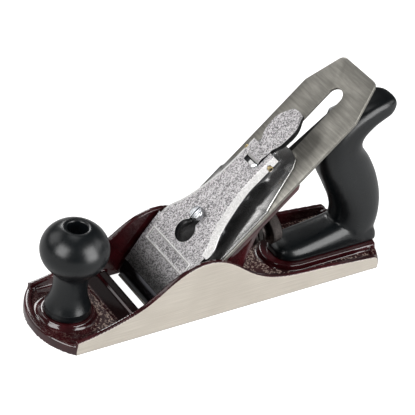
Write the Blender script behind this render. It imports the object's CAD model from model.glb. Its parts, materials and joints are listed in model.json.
import json
import math

import bmesh
import bpy
import numpy as np
from mathutils import Matrix, Vector


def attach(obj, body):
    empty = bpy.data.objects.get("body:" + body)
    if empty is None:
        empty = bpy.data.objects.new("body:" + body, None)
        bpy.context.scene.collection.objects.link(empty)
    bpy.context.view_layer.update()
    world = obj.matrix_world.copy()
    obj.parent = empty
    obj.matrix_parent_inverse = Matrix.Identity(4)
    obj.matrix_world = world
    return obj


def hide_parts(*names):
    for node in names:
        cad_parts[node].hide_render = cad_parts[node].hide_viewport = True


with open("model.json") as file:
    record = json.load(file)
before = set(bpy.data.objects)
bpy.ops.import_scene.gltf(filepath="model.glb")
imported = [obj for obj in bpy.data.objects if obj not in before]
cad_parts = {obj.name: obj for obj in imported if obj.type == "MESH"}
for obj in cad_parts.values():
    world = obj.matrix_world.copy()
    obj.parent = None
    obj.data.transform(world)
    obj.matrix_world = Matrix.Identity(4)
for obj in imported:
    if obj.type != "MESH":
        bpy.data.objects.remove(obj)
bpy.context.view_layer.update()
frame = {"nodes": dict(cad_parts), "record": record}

MM = 0.001
Q = math.sqrt(0.5)
EDGE_X = 46.5  # the cutting edge, in millimetres, as in the CAD
PIN_U, PIN_N = 109.5, 11.0  # the cam's pin: up the bed, and out of it
STUD_TILT = math.radians(15.0)
WHEEL_AT = Vector((-30.3, 0.0, 29.6))
ROD_FOOT = Vector((-107.0, 0.0, 4.0))
ROD_HEAD = Vector((-78.6, 0.0, 97.5))

# Places on the object that the materials need, in metres: the casting's insides first.
HOLLOW_X, HOLLOW_HALF = (0.050, 0.0705), 0.0275     # the dark pocket ahead of the mouth
FLOOR_Z = (0.0036, 0.0063)                          # the casting's floor, inside
TOE_FROM, HEEL_FROM = 0.07125, -0.0135              # where the floor is left sandy
CHEEK_Y, SOLE_Z = 0.02955, 0.0006                   # where the ground outer faces begin
PLATE_UP, PLATE_HALF = (0.0287, 0.0380), 0.0207     # the lever cap's plain frame, outside
WINDOW_UP, WINDOW_HALF = (0.0301, 0.0366), 0.0193   # and inside
LIP_UP = (0.0150, 0.0340)                           # its lip darkens down to the edge


# ---------------------------------------------------------------- materials

class Shader:
    """A node material, built up one node at a time."""

    def __init__(self, name):
        self.material = bpy.data.materials.new(name)
        self.material.use_nodes = True
        self.tree = self.material.node_tree
        self.out = self.tree.nodes["Principled BSDF"]
        coords = self.tree.nodes.new("ShaderNodeTexCoord")
        self.place = coords.outputs["Object"]
        self.normal = coords.outputs["Normal"]
        self.x, self.y, self.z = self.split(self.place)
        self.nx, self.ny, self.nz = self.split(self.normal)

    def put(self, socket, value):
        if isinstance(value, bpy.types.NodeSocket):
            self.tree.links.new(value, socket)
        elif isinstance(value, (tuple, list)) and len(value) == 3 and socket.type == "RGBA":
            socket.default_value = (*value, 1.0)
        else:
            socket.default_value = value

    def split(self, vector):
        node = self.tree.nodes.new("ShaderNodeSeparateXYZ")
        self.put(node.inputs[0], vector)
        return node.outputs

    def math(self, operation, a, b=0.0, c=0.0):
        node = self.tree.nodes.new("ShaderNodeMath")
        node.operation = operation
        for socket, value in zip(node.inputs, (a, b, c)):
            self.put(socket, value)
        return node.outputs[0]

    def ramp(self, value, low, high, out_low=0.0, out_high=1.0):
        """A smooth step of value between low and high."""
        node = self.tree.nodes.new("ShaderNodeMapRange")
        node.interpolation_type = "SMOOTHSTEP"
        for socket, v in zip(node.inputs, (value, low, high, out_low, out_high)):
            self.put(socket, v)
        return node.outputs[0]

    def both(self, *masks):
        """Where every mask holds."""
        made = masks[0]
        for mask in masks[1:]:
            made = self.math("MULTIPLY", made, mask)
        return made

    def mix(self, factor, a, b):
        """A colour from a to b."""
        node = self.tree.nodes.new("ShaderNodeMix")
        node.data_type = "RGBA"
        self.put(node.inputs[0], factor)
        self.put(node.inputs[6], a)
        self.put(node.inputs[7], b)
        return node.outputs[2]

    def blend(self, factor, a, b):
        """A number from a to b."""
        node = self.tree.nodes.new("ShaderNodeMix")
        self.put(node.inputs[0], factor)
        self.put(node.inputs[2], a)
        self.put(node.inputs[3], b)
        return node.outputs[0]

    def up_bed(self):
        """Distance up the bed from the cutting edge, in metres."""
        behind = self.math("SUBTRACT", EDGE_X * MM, self.x)
        return self.math("MULTIPLY", self.math("ADD", self.z, behind), Q)

    def off_bed(self):
        """Distance out of the bed, in metres."""
        ahead = self.math("SUBTRACT", self.x, EDGE_X * MM)
        return self.math("MULTIPLY", self.math("ADD", self.z, ahead), Q)

    def over(self, value, place, soft):
        """1 above the place and 0 below it."""
        return self.ramp(value, place - soft, place + soft)

    def under(self, value, place, soft):
        """1 below the place and 0 above it."""
        return self.ramp(value, place + soft, place - soft)

    def within(self, value, span, soft):
        """1 between the two places of span."""
        return self.both(self.over(value, span[0], soft), self.under(value, span[1], soft))

    def scaled(self, stretch, turn=(0.0, 0.0, 0.0)):
        """The place, turned and then stretched, so that grain can run one way."""
        node = self.tree.nodes.new("ShaderNodeMapping")
        node.vector_type = "TEXTURE"
        self.put(node.inputs["Vector"], self.place)
        node.inputs["Rotation"].default_value = turn
        node.inputs["Scale"].default_value = stretch
        return node.outputs[0]

    def noise(self, scale, detail=3.0, rough=0.55, at=None):
        node = self.tree.nodes.new("ShaderNodeTexNoise")
        self.put(node.inputs["Vector"], at or self.place)
        node.inputs["Scale"].default_value = scale
        node.inputs["Detail"].default_value = detail
        node.inputs["Roughness"].default_value = rough
        return node.outputs[0]

    def cells(self, scale):
        """A random value for each small cell."""
        node = self.tree.nodes.new("ShaderNodeTexVoronoi")
        self.put(node.inputs["Vector"], self.place)
        node.inputs["Scale"].default_value = scale
        return self.split(node.outputs["Color"])[0]

    def bump(self, height, distance, strength=1.0):
        node = self.tree.nodes.new("ShaderNodeBump")
        node.inputs["Strength"].default_value = strength
        node.inputs["Distance"].default_value = distance
        self.put(node.inputs["Height"], height)
        self.put(self.out.inputs["Normal"], node.outputs[0])

    def set(self, **values):
        names = dict(color="Base Color", metal="Metallic", rough="Roughness", coat="Coat Weight",
                     coat_rough="Coat Roughness", specular="Specular IOR Level")
        for key, value in values.items():
            self.put(self.out.inputs[names[key]], value)
        return self.material


def enamel_paint(s, sandy, hollow=None):
    """Maroon stoving enamel on s. sandy is where its bare grains glint, hollow where it is painted darker.
    Gives its colour, roughness and the height of its grain."""
    tone = s.noise(60.0, 4.0)
    paint = s.mix(s.ramp(tone, 0.35, 0.7), (0.018, 0.0024, 0.0032), (0.044, 0.0052, 0.0072))
    if hollow is not None:
        paint = s.mix(hollow, paint, (0.008, 0.0024, 0.0026))
    glint = s.both(sandy, s.ramp(s.cells(1250.0), 0.70, 0.76))
    paint = s.mix(glint, paint, (0.42, 0.32, 0.27))
    rough = s.blend(sandy, s.ramp(tone, 0.3, 0.75, 0.10, 0.20), 0.36)
    peel = s.math("MULTIPLY", s.noise(420.0, 2.0), 0.25)
    return paint, rough, s.math("ADD", peel, s.both(sandy, s.noise(1100.0, 2.0)))


def enamel(name):
    """The frog's enamel, with a few sandy patches."""
    s = Shader(name)
    sandy = s.ramp(s.noise(90.0, 2.0), 0.62, 0.7, 0.0, 0.35)
    paint, rough, height = enamel_paint(s, sandy)
    s.bump(height, 0.00022, 0.55)
    return s.set(color=paint, rough=rough, specular=0.45, coat=0.4, coat_rough=0.12)


def casting_finish(name):
    """Enamel inside, sandy where the floor was left as cast, and bare ground iron on sole and cheeks."""
    s = Shader(name)
    wide = s.math("ABSOLUTE", s.y)
    level = s.ramp(s.nz, 0.8, 0.95)
    hollow = s.both(level, s.within(s.x, HOLLOW_X, 0.001), s.under(wide, HOLLOW_HALF, 0.0005))
    toe = s.both(s.over(s.x, TOE_FROM, 0.00125), s.ramp(s.x, 0.084, 0.092, 1.0, 0.12))
    heel = s.under(s.x, HEEL_FROM, 0.0015)
    ends = s.math("MAXIMUM", s.math("MULTIPLY", toe, 0.7), heel)
    on_floor = s.both(s.over(s.z, FLOOR_Z[0], 0.0002), s.under(s.z, FLOOR_Z[1], 0.0003))
    sandy = s.both(level, on_floor, ends)
    paint, rough, height = enamel_paint(s, sandy, hollow)

    cheek = s.both(s.ramp(s.math("ABSOLUTE", s.ny), 0.90, 0.975), s.over(wide, CHEEK_Y, 0.00015))
    sole = s.both(s.ramp(s.nz, -0.85, -0.97), s.under(s.z, SOLE_Z, 0.0002))
    bare = s.math("MAXIMUM", cheek, sole)
    lines = s.noise(1.0, 4.0, 0.6, s.scaled((0.030, 0.0012, 0.00045)))
    cloud = s.noise(38.0, 3.0)
    iron = s.mix(s.ramp(lines, 0.3, 0.72), (0.49, 0.45, 0.39), (0.60, 0.555, 0.49))
    iron = s.mix(s.ramp(cloud, 0.35, 0.75, 0.0, 0.4), iron, (0.44, 0.40, 0.345))
    s.bump(s.blend(bare, height, s.math("MULTIPLY", lines, 0.35)), 0.00022, 0.55)
    return s.set(
        color=s.mix(bare, paint, iron), rough=s.blend(bare, rough, s.ramp(lines, 0.2, 0.8, 0.5, 0.38)),
        metal=s.math("MULTIPLY", bare, 0.55), specular=s.ramp(hollow, 0.0, 1.0, 0.45, 0.15),
        coat=s.blend(bare, s.ramp(hollow, 0.0, 1.0, 0.4, 0.05), 0.0), coat_rough=0.12,
    )


def cap_metal(name, framed):
    """Bright cast metal: a strong fine speckle on its face, bright bevels and dark smooth flanks.
    framed is True for the lever cap, whose lip goes dark under its plain frame."""
    s = Shader(name)
    random = s.cells(1700.0)
    fine = s.noise(1500.0, 3.0, 0.7)
    tilt = s.math("ADD", s.math("MULTIPLY", s.nx, Q), s.math("MULTIPLY", s.nz, Q))
    facing = s.ramp(tilt, 0.88, 0.95)
    bevel = s.ramp(tilt, 0.45, 0.65)
    speckle = s.math("ADD", s.math("MULTIPLY", random, 0.75), s.math("MULTIPLY", fine, 0.4))
    face = s.mix(s.ramp(speckle, 0.25, 0.9), (0.12, 0.114, 0.118), (0.63, 0.61, 0.62))
    flank = s.mix(s.ramp(s.off_bed(), 0.006, 0.012), (0.60, 0.60, 0.61), (0.035, 0.035, 0.038))
    filed = s.mix(s.ramp(speckle, 0.2, 0.95), (0.62, 0.61, 0.60), (0.86, 0.85, 0.84))
    if not framed:
        filed = (0.42, 0.41, 0.405)
    smooth = s.mix(bevel, flank, filed)
    color = s.mix(facing, smooth, face)
    if framed:
        up = s.up_bed()
        wide = s.math("ABSOLUTE", s.y)
        outer = s.both(s.within(up, PLATE_UP, 0.0002), s.under(wide, PLATE_HALF, 0.0002))
        inner = s.both(s.within(up, WINDOW_UP, 0.0002), s.under(wide, WINDOW_HALF, 0.0002))
        frame_edge = s.both(outer, s.math("SUBTRACT", 1.0, inner), facing)
        color = s.mix(s.math("MULTIPLY", frame_edge, 0.60), color, (0.86, 0.85, 0.84))
        uneven = s.math("ADD", up, s.math("MULTIPLY", s.noise(160.0, 3.0), 0.004))
        lip = s.ramp(uneven, *LIP_UP)
        shade = s.mix(s.ramp(speckle, 0.3, 0.9), (0.010, 0.010, 0.010), (0.075, 0.073, 0.073))
        color = s.mix(lip, shade, color)
    s.bump(s.both(facing, speckle), 0.00010, 0.6)
    return s.set(
        color=color, metal=s.blend(facing, s.blend(bevel, 0.9, 0.35), 0.62),
        rough=s.blend(facing, 0.26, s.ramp(random, 0.0, 1.0, 0.34, 0.50)),
    )


def ground_steel(name, dark, light, metal, rough, stretch, depth=0.00004, blued=0.0):
    """Steel ground one way: stretch is the size of its grain in metres, turned with the bed.
    blued is how far up the bed the iron is darkened, in metres."""
    s = Shader(name)
    grain = s.noise(1.0, 4.0, 0.65, s.scaled(stretch, (0.0, -math.pi / 4, 0.0)))
    cloud = s.noise(30.0, 3.0)
    color = s.mix(s.ramp(grain, 0.3, 0.72), dark, light)
    color = s.mix(s.ramp(cloud, 0.35, 0.8, 0.0, 0.3), color, tuple(0.8 * c for c in dark))
    if blued:
        color = s.mix(s.ramp(s.up_bed(), blued * 0.6, blued), (0.028, 0.028, 0.031), color)
    s.bump(grain, depth, 0.6)
    return s.set(color=color, metal=metal, rough=s.ramp(grain, 0.2, 0.8, rough * 1.15, rough * 0.85))


def plated(name, color, rough, threads=None):
    """Plated steel. threads is (axis, pitch in metres) where a screw's thread shows."""
    s = Shader(name)
    wear = s.noise(500.0, 3.0)
    tone = s.mix(s.ramp(wear, 0.4, 0.8), color, tuple(0.78 * c for c in color))
    height = s.math("MULTIPLY", wear, 0.1)
    if threads:
        axis, pitch = threads
        along = s.math("ADD", s.math("MULTIPLY", s.x, axis[0]), s.math("MULTIPLY", s.z, axis[2]))
        wave = s.math("SINE", s.math("MULTIPLY", along, 2 * math.pi / pitch))
        height = s.math("ADD", height, wave)
    s.bump(height, 0.00012, 0.8 if threads else 0.3)
    return s.set(color=tone, metal=0.95, rough=s.ramp(wear, 0.2, 0.8, rough, rough * 1.5))


def pin_end(name):
    """The cam pin's riveted end: a brassy ring round a dark centre."""
    s = Shader(name)
    dx = s.math("SUBTRACT", s.x, (EDGE_X + (PIN_N - PIN_U) * Q) * MM)
    dz = s.math("SUBTRACT", s.z, (PIN_N + PIN_U) * Q * MM)
    far = s.math("SQRT", s.math("ADD", s.math("MULTIPLY", dx, dx), s.math("MULTIPLY", dz, dz)))
    wear = s.noise(700.0, 3.0)
    color = s.mix(s.ramp(far, 0.0008, 0.0011), (0.02, 0.018, 0.015), (0.42, 0.33, 0.17))
    s.bump(wear, 0.00008, 0.4)
    return s.set(color=color, metal=0.8, rough=s.ramp(wear, 0.2, 0.8, 0.3, 0.45))


def black_plastic(name):
    s = Shader(name)
    wave = s.noise(45.0, 2.0)
    peel = s.noise(750.0, 2.0)
    color = s.mix(s.ramp(wave, 0.3, 0.7), (0.0014, 0.0022, 0.0028), (0.0026, 0.0038, 0.0046))
    s.bump(s.math("ADD", s.math("MULTIPLY", peel, 0.3), wave), 0.00010, 0.25)
    return s.set(color=color, rough=s.ramp(peel, 0.2, 0.8, 0.27, 0.33), specular=0.44)


def black_paint(name):
    s = Shader(name)
    peel = s.noise(600.0, 3.0)
    color = s.mix(s.ramp(peel, 0.3, 0.75), (0.007, 0.007, 0.007), (0.018, 0.018, 0.017))
    s.bump(peel, 0.00008, 0.5)
    return s.set(color=color, rough=s.ramp(peel, 0.2, 0.8, 0.3, 0.45))


STUD_DIRECTION = (-math.cos(STUD_TILT), 0.0, math.sin(STUD_TILT))
STUD_PITCH = 0.00106
KNURL_TONE = ground_steel(
    "knurled_steel", (0.010, 0.009, 0.0085), (0.055, 0.046, 0.043), 0.85, 0.45,
    (0.0006, 0.0006, 0.0006), depth=0.0001,
)
BLACK = black_plastic("black_plastic")
OILED = plated("oiled_screw", (0.16, 0.155, 0.15), 0.35)
MATERIALS = {
    "base_casting": casting_finish("enamel_and_ground_iron"),
    "frog": enamel("enamel"),
    "lever_cap": cap_metal("lever_cap_metal", True),
    "cam_lever": cap_metal("cam_metal", False),
    "cutter": ground_steel(
        "cutter_steel", (0.165, 0.158, 0.140), (0.265, 0.255, 0.228), 0.75, 0.40, (0.0006, 0.020, 0.002),
    ),
    "cap_iron": ground_steel(
        "cap_iron_steel", (0.36, 0.355, 0.35), (0.50, 0.495, 0.49), 0.97, 0.20, (0.012, 0.0006, 0.002),
        depth=0.00001, blued=0.030,
    ),
    "depth_wheel": KNURL_TONE,
    "wheel_hub": KNURL_TONE,
    "adjuster_stud": plated("stud_thread", (0.14, 0.13, 0.12), 0.35, (STUD_DIRECTION, STUD_PITCH)),
    "yoke": ground_steel(
        "pressed_dark_steel", (0.05, 0.048, 0.045), (0.13, 0.125, 0.12), 0.8, 0.45, (0.0008, 0.0008, 0.0008),
    ),
    "lateral_lever": black_paint("lever_black"),
    "tote": BLACK,
    "knob": BLACK,
    "frog_screws": OILED,
    "frog_washers": OILED,
    "cap_iron_screw": plated("dark_screw", (0.30, 0.29, 0.28), 0.28),
    "lever_cap_screw": plated("slotted_screw", (0.46, 0.47, 0.49), 0.16),
    "cam_pin": pin_end("pin_end"),
}
BRIGHT = plated("bright_plate", (0.72, 0.73, 0.75), 0.10)
for plain in ("yoke_pin", "lateral_rivet", "lateral_roller", "spring_rivet", "lever_cap_spring",
              "tote_nut", "tote_bolt", "knob_nut", "knob_bolt"):
    MATERIALS[plain] = BRIGHT


def dress(piece, material):
    piece.data.materials.clear()
    piece.data.materials.append(material)
    piece.data.polygons.foreach_set("use_smooth", [True] * len(piece.data.polygons))


# ---------------------------------------------------------------- CAD nodes that keep their shape

WELD = 0.000002             # points of a CAD mesh nearer than this are one, in metres
SHARP = math.radians(32.0)  # an edge that turns by more is softened


def edged(node, width):
    """Softens a CAD node's sharp edges by width, in millimetres."""
    piece = frame["nodes"][node]
    weld = piece.modifiers.new("weld", "WELD")
    weld.merge_threshold = WELD
    bevel = piece.modifiers.new("edges", "BEVEL")
    bevel.width = width * MM
    bevel.segments = 2
    bevel.limit_method = "ANGLE"
    bevel.angle_limit = SHARP
    bevel.use_clamp_overlap = False
    bevel.harden_normals = True


for node, piece in frame["nodes"].items():
    dress(piece, MATERIALS[node])
# How far the edges are softened, in millimetres, and on which nodes.
EDGES = {
    0.5: ("frog",),
    0.35: ("tote_nut", "knob_nut"),
    0.3: ("yoke", "yoke_pin", "lateral_roller", "cam_pin", "spring_rivet", "adjuster_stud", "frog_screws",
          "cap_iron_screw", "tote_bolt", "knob_bolt"),
    0.25: ("lever_cap_screw", "wheel_hub", "lateral_lever"),
    0.2: ("frog_washers", "lateral_rivet"),
    0.18: ("cap_iron",),
    0.12: ("cutter",),
    0.1: ("lever_cap_spring",),
}
for width, nodes in EDGES.items():
    for node in nodes:
        edged(node, width)


# ---------------------------------------------------------------- pieces with rounded forms

def new_piece(name, mesh, node, material):
    piece = bpy.data.objects.new(name, mesh)
    bpy.context.scene.collection.objects.link(piece)
    dress(piece, material)
    body = next(b for b, nodes in frame["record"]["behaviour"]["bodies"].items() if node in nodes)
    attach(piece, body)
    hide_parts(node)
    return piece


def baked(mesh, add_modifiers):
    """The mesh after modifiers, as a new mesh."""
    holder = bpy.data.objects.new("holder", mesh)
    bpy.context.scene.collection.objects.link(holder)
    add_modifiers(holder)
    bpy.context.view_layer.update()
    graph = bpy.context.evaluated_depsgraph_get()
    made = bpy.data.meshes.new_from_object(holder.evaluated_get(graph))
    bpy.data.objects.remove(holder)
    return made


def remeshed(mesh, voxel):
    def voxels(holder):
        remesh = holder.modifiers.new("remesh", "REMESH")
        remesh.mode = "VOXEL"
        remesh.voxel_size = voxel * MM
    return baked(mesh, voxels)


def relaxed(mesh, passes, held=None):
    """Evens a mesh out without shrinking it. held(points) gives how far each point may move, 0 to 1."""
    count = len(mesh.vertices)
    points = np.empty(count * 3)
    mesh.vertices.foreach_get("co", points)
    points = points.reshape(-1, 3)
    pairs = np.empty(len(mesh.edges) * 2, np.int64)
    mesh.edges.foreach_get("vertices", pairs)
    a, b = pairs.reshape(-1, 2).T
    degree = np.bincount(np.concatenate((a, b)), minlength=count).clip(1)
    free = np.ones(count) if held is None else held(points)
    for _ in range(passes):
        for step in (0.5, -0.52):
            total = np.stack([
                np.bincount(a, points[b, k], count) + np.bincount(b, points[a, k], count) for k in range(3)
            ], 1)
            points = points + (total / degree[:, None] - points) * (step * free)[:, None]
    mesh.vertices.foreach_set("co", points.ravel())
    mesh.update()
    return mesh


def welded(node):
    """A joined-up copy of a CAD node's mesh."""
    mesh = frame["nodes"][node].data.copy()
    work = bmesh.new()
    work.from_mesh(mesh)
    bmesh.ops.remove_doubles(work, verts=work.verts, dist=WELD)
    work.to_mesh(mesh)
    work.free()
    return mesh


def base_hold(points):
    """The ground sole stays sharp at its edge."""
    return np.clip((points[:, 2] - 0.0008) / 0.0012, 0.0, 1.0)


base = relaxed(remeshed(welded("base_casting"), 0.62), 9, base_hold)
new_piece("base_casting_cast", base, "base_casting", MATERIALS["base_casting"])

cap = relaxed(remeshed(welded("lever_cap"), 0.36), 3)
new_piece("lever_cap_cast", cap, "lever_cap", MATERIALS["lever_cap"])

cam = relaxed(remeshed(welded("cam_lever"), 0.30), 5)
new_piece("cam_lever_cast", cam, "cam_lever", MATERIALS["cam_lever"])


# ---------------------------------------------------------------- tote

GRIP = (
    # front (x, z), back (x, z), half width, squareness: millimetres, from the foot to the horn's tip
    ((-85.5, 8.0), (-121.0, 8.0), 13.0, 2.3),
    ((-90.0, 24.0), (-122.6, 24.0), 12.9, 2.3),
    ((-87.0, 36.0), (-120.6, 39.0), 12.5, 2.35),
    ((-78.5, 51.0), (-114.6, 54.5), 12.5, 2.4),
    ((-70.5, 64.5), (-106.2, 68.5), 12.7, 2.5),
    ((-66.5, 78.0), (-97.2, 80.0), 12.7, 2.7),
    ((-69.0, 91.0), (-96.2, 87.4), 12.3, 2.9),
    ((-79.0, 101.0), (-101.5, 94.0), 11.8, 3.2),
    ((-93.0, 108.5), (-107.0, 97.2), 11.2, 3.4),
    ((-106.0, 111.8), (-112.4, 99.6), 10.2, 3.3),
    ((-113.0, 111.2), (-116.0, 103.6), 7.6, 2.8),
    ((-115.8, 109.4), (-117.2, 105.8), 3.6, 2.2),
)
FOOT = (
    # x, half width, height: from behind the grip to the rounded front end
    (-120.6, 8.5, 4.0), (-118.6, 12.0, 9.0), (-112.0, 13.2, 15.0), (-98.0, 13.3, 16.5), (-88.0, 13.3, 14.2),
    (-76.0, 13.3, 11.8), (-62.0, 13.3, 9.6), (-54.5, 12.0, 8.4), (-50.0, 8.8, 6.4), (-47.8, 4.6, 3.6),
)
TOTE_BASE = 7.5


def smooth_rows(rows, steps):
    """Catmull-Rom rows between the given ones."""
    rows = np.array(rows, float)
    first, last = 2 * rows[0] - rows[1], 2 * rows[-1] - rows[-2]
    padded = np.vstack((first, rows, last))
    made = []
    for i in range(1, len(padded) - 2):
        p0, p1, p2, p3 = padded[i - 1:i + 3]
        for t in np.arange(steps) / steps:
            made.append(0.5 * (
                2 * p1 + (p2 - p0) * t + (2 * p0 - 5 * p1 + 4 * p2 - p3) * t**2
                + (3 * p1 - p0 - 3 * p2 + p3) * t**3
            ))
    made.append(padded[-2])
    return made


def power(value, exponent):
    """A power that keeps the value's sign, for squared-off ovals."""
    return math.copysign(abs(value) ** exponent, value)


def loft(rings):
    """A closed mesh through rings of points, in millimetres."""
    work = bmesh.new()
    layers = [[work.verts.new(Vector(p) * MM) for p in ring] for ring in rings]
    count = len(layers[0])
    for low, high in zip(layers, layers[1:]):
        for i in range(count):
            j = (i + 1) % count
            work.faces.new((low[i], low[j], high[j], high[i]))
    work.faces.new(layers[0][::-1])
    work.faces.new(layers[-1])
    bmesh.ops.recalc_face_normals(work, faces=work.faces)
    mesh = bpy.data.meshes.new("loft")
    work.to_mesh(mesh)
    work.free()
    return mesh


def round_about(sides):
    """The angles of a ring's points."""
    return [2 * math.pi * i / sides for i in range(sides)]


def grip_rings():
    """Squared ovals across the grip, from its foot to the horn's tip."""
    rows = [(*front, *back, half, squareness) for front, back, half, squareness in GRIP]
    for fx, fz, bx, bz, half, squareness in smooth_rows(rows, 8):
        ring = []
        for t in round_about(72):
            along, wide = power(math.cos(t), 2 / squareness), power(math.sin(t), 2 / squareness)
            ring.append((
                (fx + bx) / 2 + (fx - bx) / 2 * along, half * wide, (fz + bz) / 2 + (fz - bz) / 2 * along,
            ))
        yield ring


def foot_rings():
    """Domed sections along the foot, flat underneath."""
    for x, half, height in smooth_rows(FOOT, 6):
        ring = []
        for t in round_about(64):
            rise = power(math.sin(t), 2 / 2.5)
            y = half * power(math.cos(t), 2 / 3.2)
            ring.append((x, y, TOTE_BASE + max(height * rise, 0.0)))
        yield ring


def joined(*meshes):
    work = bmesh.new()
    for mesh in meshes:
        work.from_mesh(mesh)
    made = bpy.data.meshes.new("joined")
    work.to_mesh(made)
    work.free()
    return made


def round_bar(radius, foot, direction, low, high):
    """A closed cylinder about an axis, for cutting holes."""
    foot = Vector(foot)
    turn = Vector(direction).normalized().to_track_quat("Z", "Y").to_matrix()
    return loft([
        [foot + turn @ Vector((radius * math.cos(t), radius * math.sin(t), height)) for t in round_about(64)]
        for height in (low, high)
    ])


def bored(mesh, cutter):
    """The mesh less the cutter."""
    tool = bpy.data.objects.new("tool", cutter)
    bpy.context.scene.collection.objects.link(tool)

    def cut(holder):
        boolean = holder.modifiers.new("bore", "BOOLEAN")
        boolean.operation = "DIFFERENCE"
        boolean.solver = "EXACT"
        boolean.object = tool
    made = baked(mesh, cut)
    bpy.data.objects.remove(tool)
    return made


def tote_hold(points):
    """The tote's flat underside stays where it is."""
    return np.clip((points[:, 2] - 0.0078) / 0.0015, 0.0, 1.0)


NUT_WELL_R, NUT_WELL_DEPTH = 6.0, 9.0
PAST_HORN = 30.0
rod_axis = ROD_HEAD - ROD_FOOT
well = round_bar(
    NUT_WELL_R, ROD_FOOT, rod_axis, rod_axis.length - NUT_WELL_DEPTH, rod_axis.length + PAST_HORN,
)
tote_rough = joined(loft(list(grip_rings())), loft(list(foot_rings())))
tote_form = bored(relaxed(remeshed(tote_rough, 0.8), 16, tote_hold), well)
new_piece("tote_grip", tote_form, "tote", MATERIALS["tote"])


# ---------------------------------------------------------------- knob and depth wheel

def turned(profile, place, sides=144, tooth=None):
    """A turned form: profile is a closed list of (radius, height) in millimetres.
    tooth(k, radius) gives the radius at side k."""
    work = bmesh.new()
    rings = []
    for radius, height in profile:
        ring = []
        for k, a in enumerate(round_about(sides)):
            r = tooth(k, radius) if tooth else radius
            point = Vector((r * math.cos(a), r * math.sin(a), height)) * MM
            ring.append(work.verts.new(place @ point))
        rings.append(ring)
    for i, ring in enumerate(rings):
        after = rings[(i + 1) % len(rings)]
        for k in range(sides):
            j = (k + 1) % sides
            work.faces.new((ring[k], ring[j], after[j], after[k]))
    bmesh.ops.recalc_face_normals(work, faces=work.faces)
    mesh = bpy.data.meshes.new("turned")
    work.to_mesh(mesh)
    work.free()
    return mesh


KNOB_X = 96.5
BALL_Z, BALL_R, BALL_HIGH = 52.2, 20.0, 17.0
BALL_FROM, BALL_TO, BALL_STEPS = -53.0, 64.0, 32  # the ball's arc, in degrees
NUT_SEAT = 47.0
# (radius, height) in millimetres, from the foot's underside up
KNOB_FOOT = ((3.5, 8.6), (13.1, 8.6), (13.6, 8.9), (13.8, 9.4), (13.8, 11.0), (13.4, 12.6))
STEM = (
    # The first row only guides the curve away from the foot.
    (13.7, 12.6), (12.9, 14.4), (11.9, 16.8), (11.0, 19.6), (10.4, 22.6), (10.1, 26.0), (10.0, 29.5),
    (10.2, 33.0), (10.7, 35.9), (11.6, 37.9),
)
KNOB_MOUTH = (
    (8.3, 67.6), (7.4, 67.55), (6.6, 67.4), (6.15, 67.0), (6.0, 66.2), (6.0, 60.0), (6.0, NUT_SEAT),
    (3.5, NUT_SEAT),
)
ball = []
for step in range(BALL_STEPS + 1):
    a = math.radians(BALL_FROM + (BALL_TO - BALL_FROM) * step / BALL_STEPS)
    ball.append((BALL_R * math.cos(a), BALL_Z + BALL_HIGH * math.sin(a)))
stem = [tuple(row) for row in smooth_rows(STEM, 4)[1:]]
knob_profile = [*KNOB_FOOT, *stem, *ball, *KNOB_MOUTH]
knob_mesh = turned(knob_profile, Matrix.Translation((KNOB_X * MM, 0, 0)))
new_piece("knob_turned", knob_mesh, "knob", MATERIALS["knob"])

cos_tilt, sin_tilt = math.cos(STUD_TILT), math.sin(STUD_TILT)
# The stud's own frame: its Z runs out along the stud.
STUD = Matrix((
    (0.0, -sin_tilt, -cos_tilt, WHEEL_AT.x * MM),
    (1.0, 0.0, 0.0, 0.0),
    (0.0, -cos_tilt, sin_tilt, WHEEL_AT.z * MM),
    (0.0, 0.0, 0.0, 1.0),
))
WHEEL_R, WHEEL_LOW, WHEEL_HIGH, BORE_R = 12.0, 6.3, 13.4, 6.05
KNURLS = 66
KNURL_DEPTH = (0.0, 0.22, 0.55, 0.22)  # across one ridge and groove


def knurl(k, radius):
    """Straight knurling on the rim."""
    on_rim = radius > WHEEL_R - 0.3
    return radius - KNURL_DEPTH[k % len(KNURL_DEPTH)] if on_rim else radius


wheel_profile = [
    (BORE_R, WHEEL_LOW), (9.8, WHEEL_LOW), (11.0, WHEEL_LOW + 0.1), (11.65, WHEEL_LOW + 0.5),
    (WHEEL_R, WHEEL_LOW + 1.0), (WHEEL_R, WHEEL_HIGH - 1.0), (11.65, WHEEL_HIGH - 0.5),
    (11.0, WHEEL_HIGH - 0.1), (10.2, WHEEL_HIGH), (9.6, WHEEL_HIGH - 0.25), (9.2, WHEEL_HIGH - 0.9),
    (8.8, WHEEL_HIGH - 1.2), (BORE_R, WHEEL_HIGH - 1.2),
]
wheel = turned(wheel_profile, STUD, len(KNURL_DEPTH) * KNURLS, knurl)
new_piece("depth_wheel_knurled", wheel, "depth_wheel", MATERIALS["depth_wheel"])


# ---------------------------------------------------------------- floor, light and camera

FLOOR_LIGHT, SKY_LIGHT = 0.26, 0.07  # how much each lights the object; both show white
FLOOR_REACH, FLOOR_DROP = 6.0, 0.0002


def floor_material():
    s = Shader("studio_white")
    tone = s.noise(3.0, 2.0)
    s.put(s.out.inputs["Emission Color"], s.mix(tone, (0.97, 0.97, 0.97), (1.0, 1.0, 1.0)))
    # The floor shows white, and lights the object from below less than it shows.
    path = s.tree.nodes.new("ShaderNodeLightPath")
    s.put(s.out.inputs["Emission Strength"], s.blend(path.outputs["Is Camera Ray"], FLOOR_LIGHT, 1.0))
    return s.set(color=(0.35, 0.35, 0.35), rough=0.9, specular=0.0)


floor_mesh = bpy.data.meshes.new("studio_floor")
corners = ((-1, -1), (1, -1), (1, 1), (-1, 1))
floor_mesh.from_pydata(
    [(FLOOR_REACH * x, FLOOR_REACH * y, -FLOOR_DROP) for x, y in corners], [], [(0, 1, 2, 3)],
)
floor = bpy.data.objects.new("studio_floor", floor_mesh)
bpy.context.scene.collection.objects.link(floor)
floor_mesh.materials.append(floor_material())

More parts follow.
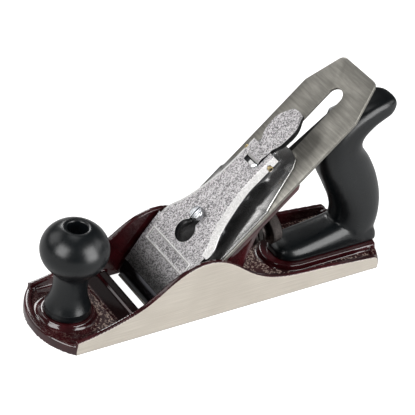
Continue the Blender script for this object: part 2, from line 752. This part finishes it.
CAMERA_AT = Vector((0.5655, 0.7034, 0.6896))
TARGET = Vector((0.0069, -0.0014, 0.0561))
CAMERA_ROLL = math.radians(10.06)
BACK = (CAMERA_AT - TARGET).normalized()
LEVEL = Vector((0.0, 0.0, 1.0)).cross(BACK).normalized()
SIDE = LEVEL * math.cos(CAMERA_ROLL) + BACK.cross(LEVEL) * math.sin(CAMERA_ROLL)  # to the camera's right
UP = BACK.cross(SIDE)


def softbox(name, direction, distance, width, height, watts):
    """A flat lamp that faces the target from a distance in metres."""
    data = bpy.data.lights.new(name, "AREA")
    data.shape = "RECTANGLE"
    data.size, data.size_y = width, height
    data.energy = watts
    lamp = bpy.data.objects.new(name, data)
    bpy.context.scene.collection.objects.link(lamp)
    toward = Vector(direction).normalized()
    lamp.location = TARGET + toward * distance
    lamp.rotation_mode = "QUATERNION"
    lamp.rotation_quaternion = toward.to_track_quat("Z", "Y")


def seen(right, up, back):
    """A direction given as the camera sees it."""
    return SIDE * right + UP * up + BACK * back


softbox("left_box", seen(-0.56, 0.12, 0.82), 1.5, 0.90, 0.95, 19.0)
softbox("right_box", seen(0.84, -0.06, 0.54), 1.5, 1.00, 1.4, 33.0)
softbox("far_box", seen(-0.75, 0.64, 0.17), 1.6, 0.9, 0.9, 5.0)
softbox("top_box", (0.05, -0.15, 1.0), 1.5, 0.6, 0.6, 2.0)
softbox("back_box", seen(-0.25, 0.92, -0.30), 1.5, 0.5, 0.5, 7.0)
softbox("rear_box", (-1.0, 0.35, 0.55), 1.8, 0.8, 0.8, 4.0)

world = bpy.data.worlds.new("studio")
world.use_nodes = True
sky = world.node_tree.nodes["Background"]
sky.inputs["Color"].default_value = (1.0, 1.0, 1.0, 1.0)
# Past the floor the studio shows white too, and lights the object less than it shows.
sky_path = world.node_tree.nodes.new("ShaderNodeLightPath")
sky_level = world.node_tree.nodes.new("ShaderNodeMapRange")
sky_level.inputs["To Min"].default_value = SKY_LIGHT
sky_level.inputs["To Max"].default_value = 1.0
world.node_tree.links.new(sky_path.outputs["Is Camera Ray"], sky_level.inputs["Value"])
world.node_tree.links.new(sky_level.outputs["Result"], sky.inputs["Strength"])
bpy.context.scene.world = world
bpy.context.scene.view_settings.view_transform = "Standard"

camera_data = bpy.data.cameras.new("camera")
camera_data.lens = 163.08
camera_data.sensor_width = 36.0
camera_data.clip_start = 0.05
camera = bpy.data.objects.new("camera", camera_data)
bpy.context.scene.collection.objects.link(camera)
camera_turn = Matrix((SIDE, UP, BACK)).transposed().to_4x4()
camera.matrix_world = Matrix.Translation(CAMERA_AT) @ camera_turn
bpy.context.scene.camera = camera
